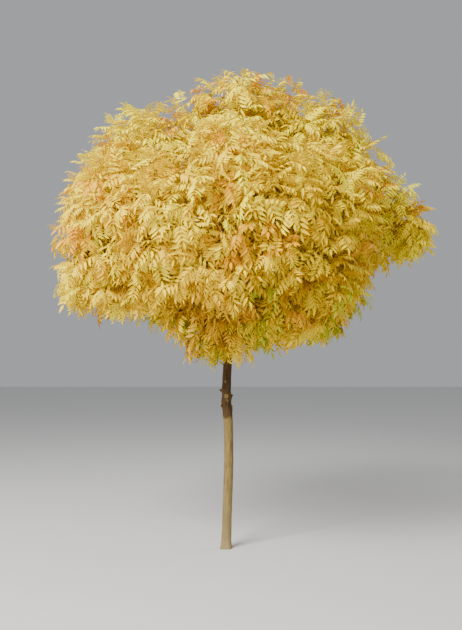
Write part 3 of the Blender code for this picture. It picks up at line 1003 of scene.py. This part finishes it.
def bark_skin():
    """Bark: long streaks up the limb, broad blotches, fine grain and small pores across it."""
    if "bark_skin" in bpy.data.node_groups:
        return bpy.data.node_groups["bark_skin"]
    tree, given, out = new_group(
        "bark_skin",
        (
            ("Vector", "Place", None),
            ("Color", "Pale", (0.5, 0.4, 0.2, 1)),
            ("Color", "Dark", (0.2, 0.1, 0.05, 1)),
            ("Color", "Pore", (0.6, 0.5, 0.3, 1)),
            ("Float", "Pores", 0.5),
            ("Float", "Streaks", 95.0),
        ),
        (("Color", "Colour"), ("Float", "Roughness"), ("Float", "Height")),
    )
    place = given["Place"]
    streaks = noise(tree, stretched(tree, place, STREAK_STRETCH), given["Streaks"], 4)
    blotches = noise(tree, stretched(tree, place, BLOTCH_STRETCH), 9, 3)
    grain = noise(tree, place, 420, 3)
    near = node(tree, "TexVoronoi", {"Vector": stretched(tree, place, PORE_STRETCH), "Scale": 58})["Distance"]
    pores = weighted(tree, (ranged(tree, near, 0.10, 0.22, 1, 0), given["Pores"]))
    shade = weighted(tree, (streaks, 0.6), (blotches, 0.4))
    skin = mixed(tree, ranged(tree, shade, 0.36, 0.62, 0, 1), given["Dark"], given["Pale"])
    feed(tree, out["Colour"], mixed(tree, pores, skin, given["Pore"]))
    feed(tree, out["Roughness"], ranged(tree, shade, 0.3, 0.7, 0.88, 0.70))
    feed(tree, out["Height"], weighted(tree, (streaks, 0.6), (grain, 0.25), (pores, 0.6)))
    return tree


def leaf_skin():
    """The surface of a leaf: a soft shine that comes and goes, and fine veins."""
    if "leaf_skin" in bpy.data.node_groups:
        return bpy.data.node_groups["leaf_skin"]
    tree, given, out = new_group(
        "leaf_skin",
        (("Vector", "Place", None), ("Float", "Shine", 0.5)),
        (("Float", "Roughness"), ("Float", "Height")),
    )
    patches = noise(tree, given["Place"], 24, 2)
    dull = added(tree, given["Shine"], 0.16)
    feed(tree, out["Roughness"], ranged(tree, patches, 0.35, 0.65, given["Shine"], dull))
    feed(tree, out["Height"], noise(tree, given["Place"], 520, 2))
    return tree


def skin_group(tree, group, **values):
    """Places a skin group in a material, on the object's own coordinates."""
    return node(tree, "Group", {"Place": own_place(tree), **values}, node_tree=group)


def new_finish(name, strength, distance):
    """A finish with its shader and a bump that waits for a height."""
    made = bpy.data.materials.new(name)
    made.use_nodes = True
    tree = made.node_tree
    shader = tree.nodes["Principled BSDF"]
    bump = tree.nodes.new("ShaderNodeBump")
    bump.inputs["Strength"].default_value = strength
    bump.inputs["Distance"].default_value = distance
    tree.links.new(bump.outputs["Normal"], shader.inputs["Normal"])
    return made, tree, shader.inputs, bump.inputs["Height"]


def dressed(finish, skin, gloss, tone):
    """The finish with the roughness and height of its skin, its gloss, and its colour in a plain view."""
    made, tree, shader, height = finish
    feed(tree, shader["Roughness"], skin["Roughness"])
    feed(tree, height, skin["Height"])
    shader["Specular IOR Level"].default_value = gloss
    made.diffuse_color = tone
    return made


def bark_skin_in(tree, pale, dark, pore, pores, streaks):
    return skin_group(tree, bark_skin(), Pale=pale, Dark=dark, Pore=pore, Pores=pores, Streaks=streaks)


def bark_finish(name, pale, dark, pore, grain):
    finish = new_finish(name, *BARK_BUMP)
    _, tree, shader, _ = finish
    skin = bark_skin_in(tree, pale, dark, pore, *grain)
    feed(tree, shader["Base Color"], skin["Colour"])
    return dressed(finish, skin, BARK_GLOSS, pale)


def trunk_finish(bark):
    """Pale tan bark up to the graft, paler at the foot, and dark brown bark above it."""
    finish = new_finish("trunk bark", *TRUNK_BUMP)
    _, tree, shader, _ = finish
    stock = bark_skin_in(tree, bark.stock_pale, bark.stock_dark, bark.pore, *STOCK_GRAIN)
    crown = bark_skin_in(tree, bark.crown_pale, bark.crown_dark, bark.stock_dark, *CROWN_GRAIN)
    place = own_place(tree)
    wobble = weighted(tree, (noise(tree, place, 22, 3), EDGE_WOBBLE))
    rise = added(tree, node(tree, "SeparateXYZ", {0: place})["Z"], wobble)
    above = ranged(tree, rise, GRAFT_HEIGHT + CROWN_EDGE[0], GRAFT_HEIGHT + CROWN_EDGE[1], 0, 1)
    foot = ranged(tree, rise, *FOOT_FADE, FOOT_STRENGTH, 0)
    low = mixed(tree, foot, stock["Colour"], bark.foot)
    feed(tree, shader["Base Color"], mixed(tree, above, low, crown["Colour"]))
    return dressed(finish, stock, BARK_GLOSS, bark.stock_pale)


def leaf_finish(tint, tone):
    """One autumn tint: a plain colour under a leaf's shine and fine veins."""
    finish = new_finish("leaf " + tint.replace("_", " "), *LEAF_BUMP)
    _, tree, shader, _ = finish
    shader["Base Color"].default_value = tone
    return dressed(finish, skin_group(tree, leaf_skin(), Shine=LEAF_SHINE), LEAF_GLOSS, tone)


def floor_finish(tone):
    made, tree, shader, height = new_finish("pale floor", *FLOOR_BUMP)
    place = own_place(tree)
    shader["Base Color"].default_value = tone
    feed(tree, shader["Roughness"], ranged(tree, noise(tree, place, 3, 2), 0.3, 0.7, 0.80, 0.92))
    feed(tree, height, noise(tree, place, 60, 2))
    return made


# Sizes and colours that a user would change

def tone_setting(name, about, *channels):
    return bpy.props.FloatVectorProperty(
        name=name, description=about, subtype="COLOR", size=4, min=0, max=1, default=colour(*channels)
    )


def unit_setting(name, about, default, kind="LENGTH"):
    return bpy.props.FloatProperty(name=name, description=about, default=default, unit=kind)


def share_setting(name, about, default, low, high):
    return bpy.props.FloatProperty(
        name=name, description=about, default=default, subtype="FACTOR", min=low, max=high
    )


class AshBark(bpy.types.PropertyGroup):
    ring_step: unit_setting("Ring step", "Height between the rings of the clear stem", 0.008)
    sides: bpy.props.IntProperty(name="Sides", description="Points round the trunk", default=72)
    streak_depth: unit_setting("Streak depth", "Depth of the streaks up the bark", 0.00045)
    lump_depth: unit_setting("Lump depth", "Height of the lumps, more at the graft", 0.00075)
    graft_ridge: unit_setting("Graft ridge", "Height of the ridge along the union", 0.0022)
    stock_pale: tone_setting("Stem, pale", "Pale streaks below the graft", 150, 128, 74)
    stock_dark: tone_setting("Stem, dark", "Dark streaks below the graft", 108, 88, 44)
    foot: tone_setting("Foot", "Paler bark near the ground", 162, 142, 100)
    pore: tone_setting("Pores", "Small pale pores in the bark", 226, 208, 170)
    crown_pale: tone_setting("Boughs, pale", "Pale streaks above the graft", 96, 70, 34)
    crown_dark: tone_setting("Boughs, dark", "Dark streaks above the graft", 56, 38, 16)
    twig_pale: tone_setting("Twigs, pale", "Pale bark of young twigs", 186, 146, 62)
    twig_dark: tone_setting("Twigs, dark", "Dark bark of young twigs", 122, 86, 36)
    cut_wood: tone_setting("Cut wood", "Wood at the ends of the stubs", 222, 196, 148)
    bud: tone_setting("Buds", "Scales of the buds", 44, 34, 28)


class AshLeaves(bpy.types.PropertyGroup):
    shoots: bpy.props.IntProperty(
        name="Shoots", description="Finer shoots tried in a mass of usual size", default=48, min=10, max=80
    )
    leaf_length: unit_setting("Leaf length", "Length of a whole leaf with its stalk", 0.215)
    leaflet_share: share_setting("Leaflet length", "Leaflet length, as a share of the leaf", 0.40, 0.2, 0.6)
    leaflet_width: share_setting("Leaflet width", "Leaflet width, as a share of its length", 0.29, 0.1, 0.5)
    bare_tips: share_setting("Bare tips", "Share of the shoots whose end has lost its leaves", 0.06, 0, 1)
    # The leaf tints. The pale ones go to sprays high up and far out and the deep ones inside the crown, as
    # painted light and shade.
    ochre: tone_setting("Ochre", "Deepest tint", 222, 172, 0)
    deep_gold: tone_setting("Deep gold", "Tint inside the crown", 242, 200, 0)
    golden: tone_setting("Golden", "Tint of most sprays", 250, 218, 0)
    lemon: tone_setting("Lemon", "Tint of the outer sprays", 254, 232, 8)
    pale_lemon: tone_setting("Pale lemon", "Palest tint, high and far out", 254, 240, 14)
    amber: tone_setting("Amber", "Odd sprays, most at the top", 238, 176, 0)
    yellow_green: tone_setting("Yellow green", "Some of the lowest sprays", 200, 204, 10)


class AshStage(bpy.types.PropertyGroup):
    floor_side: unit_setting("Floor", "Side of the square floor", 80.0)
    floor_tone: tone_setting("Floor tone", "Colour of the floor", 226, 224, 220)
    sky: bpy.props.FloatProperty(
        name="Soft light", description="Strength of the light from all round", default=0.42
    )
    key: unit_setting("Main light", "Power of the main light", 1750.0, "POWER")
    fill: unit_setting("Fill light", "Power of the fill light", 150.0, "POWER")


# What the panel's buttons do

def soft_lamp(name, place, power):
    """A large square lamp that faces the heart of the crown."""
    lamp = bpy.data.lights.new(name, "AREA")
    lamp.size = LAMP_SIDE
    lamp.energy = power
    held = bpy.data.objects.new(name, lamp)
    bpy.context.scene.collection.objects.link(held)
    held.location = place
    held.rotation_mode = "QUATERNION"
    held.rotation_quaternion = (CROWN_HEART - held.location).to_track_quat("-Z", "Y")


class ASH_OT_stage(bpy.types.Operator):
    """Lay a plain pale floor, hang the soft lights and set up the camera"""

    bl_idname = "ash.stage"
    bl_label = "Set the stage"

    def execute(self, context):
        looks = context.scene.ash_stage
        half = looks.floor_side / 2
        mesh = bpy.data.meshes.new("floor")
        corners = [(-half, -half, 0), (half, -half, 0), (half, half, 0), (-half, half, 0)]
        mesh.from_pydata(corners, [], [(0, 1, 2, 3)])
        mesh.materials.append(floor_finish(looks.floor_tone))
        floor = bpy.data.objects.new("floor", mesh)
        context.scene.collection.objects.link(floor)
        world = bpy.data.worlds.new("soft light all round")
        world.use_nodes = True
        around = world.node_tree.nodes["Background"].inputs
        around["Color"].default_value = SKY_COLOUR
        around["Strength"].default_value = looks.sky
        context.scene.world = world
        soft_lamp("main lamp", MAIN_LAMP, looks.key)
        soft_lamp("fill lamp", FILL_LAMP, looks.fill)
        camera = bpy.data.objects.new("camera", bpy.data.cameras.new("camera"))
        context.scene.collection.objects.link(camera)
        camera.location = CAMERA_PLACE
        camera.rotation_euler = (CAMERA_PITCH, 0, 0)
        camera.data.lens = CAMERA_LENS
        context.scene.camera = camera
        return {"FINISHED"}


class ASH_OT_trunk(bpy.types.Operator):
    """Grow the trunk with the relief of its bark and its graft"""

    bl_idname = "ash.trunk"
    bl_label = "Grow the trunk"

    def execute(self, context):
        bark = context.scene.ash_bark
        add_piece("trunk_with_bark", trunk_mesh(bark), [trunk_finish(bark)], "trunk_bark", "trunk")
        return {"FINISHED"}


class ASH_OT_stubs(bpy.types.Operator):
    """Add the pruned stubs and healed scars round the graft"""

    bl_idname = "ash.stubs"
    bl_label = "Add stubs and scars"

    def execute(self, context):
        bark = context.scene.ash_bark
        finishes = [
            bark_finish("stub bark", bark.crown_pale, bark.crown_dark, bark.stock_dark, STUB_GRAIN),
            bark_finish("cut wood", bark.cut_wood, bark.stock_pale, bark.stock_dark, CUT_GRAIN),
            bark_finish("scar bark", bark.stock_pale, bark.crown_pale, bark.pore, SCAR_GRAIN),
        ]
        add_piece("pruning_stubs", stubs_mesh(), finishes, "trunk_bark")
        return {"FINISHED"}


class ASH_OT_boughs(bpy.types.Operator):
    """Grow each bough from the trunk, or from another bough, to its mass"""

    bl_idname = "ash.boughs"
    bl_label = "Grow the boughs"

    def execute(self, context):
        bark = context.scene.ash_bark
        finish = bark_finish("bough bark", bark.crown_pale, bark.crown_dark, bark.stock_dark, BOUGH_GRAIN)
        for seed, mass in enumerate(MASSES[1:]):
            mesh = bough_mesh("bough_relief_" + mass.name, grown_limbs()[mass.name], seed)
            name = "bough_" + mass.name
            add_piece(name + "_with_bark", mesh, [finish], "bough_bark", name)
        return {"FINISHED"}


class ASH_OT_twigs(bpy.types.Operator):
    """Grow the stem and the twigs of each mass on from its bough"""

    bl_idname = "ash.twigs"
    bl_label = "Grow the twigs"

    def execute(self, context):
        bark = context.scene.ash_bark
        looks = context.scene.ash_leaves
        finish = bark_finish("twig bark", bark.twig_pale, bark.twig_dark, bark.pore, TWIG_GRAIN)
        for index, mass in enumerate(MASSES):
            mesh = twigs_mesh(index, looks)
            add_piece("twigs_" + mass.name, mesh, [finish], "bough_bark", "foliage_" + mass.name)
        return {"FINISHED"}


class ASH_OT_buds(bpy.types.Operator):
    """Set a dark bud at the end of every shoot"""

    bl_idname = "ash.buds"
    bl_label = "Set the buds"

    def execute(self, context):
        tone = context.scene.ash_bark.bud
        finish = bark_finish("bud scales", tone, tone, tone, BUD_GRAIN)
        add_piece("buds", buds_mesh(context.scene.ash_leaves), [finish], "bough_bark")
        return {"FINISHED"}


class ASH_OT_leaves(bpy.types.Operator):
    """Hang the leaves of each mass in sprays, each spray in its own autumn tint, paler high and outside and
    deeper inside as painted light and shade
    """

    bl_idname = "ash.leaves"
    bl_label = "Hang the leaves"

    def execute(self, context):
        looks = context.scene.ash_leaves
        rng = np.random.default_rng(SEED)
        shares = (looks.leaflet_share, looks.leaflet_width)
        kinds = [leaf_kind(rng, LEAFLET_PAIRS[kind % 2], *shares) for kind in range(LEAF_KINDS)]
        finishes = [leaf_finish(tint, getattr(looks, tint)) for tint in TINTS]
        for index, mass in enumerate(MASSES):
            mesh = leaves_mesh(index, looks, kinds)
            add_piece("leaves_" + mass.name, mesh, finishes, "foliage", "foliage_" + mass.name)
        return {"FINISHED"}


SETTINGS = {"ash_bark": AshBark, "ash_leaves": AshLeaves, "ash_stage": AshStage}
OPERATORS = (
    ASH_OT_stage, ASH_OT_trunk, ASH_OT_stubs, ASH_OT_boughs, ASH_OT_twigs, ASH_OT_buds, ASH_OT_leaves
)


class ASH_PT_panel(bpy.types.Panel):
    """The buttons that grow the tree, and its sizes and colours"""

    bl_idname = "ASH_PT_panel"
    bl_label = "Golden ash"
    bl_space_type = "VIEW_3D"
    bl_region_type = "UI"
    bl_category = "Golden ash"

    def draw(self, context):
        for operator in OPERATORS:
            self.layout.operator(operator.bl_idname)
        for group, made in SETTINGS.items():
            box = self.layout.box()
            for name in made.__annotations__:
                box.prop(getattr(context.scene, group), name)


CLASSES = (*SETTINGS.values(), *OPERATORS, ASH_PT_panel)


def register():
    for made in CLASSES:
        bpy.utils.register_class(made)
    for group, made in SETTINGS.items():
        setattr(bpy.types.Scene, group, bpy.props.PointerProperty(type=made))


def unregister():
    for group in SETTINGS:
        delattr(bpy.types.Scene, group)
    for made in reversed(CLASSES):
        bpy.utils.unregister_class(made)


def main():
    register()
    bpy.ops.ash.stage()
    bpy.ops.ash.trunk()
    bpy.ops.ash.stubs()
    bpy.ops.ash.boughs()
    bpy.ops.ash.twigs()
    bpy.ops.ash.buds()
    bpy.ops.ash.leaves()


if __name__ == "__main__":
    main()
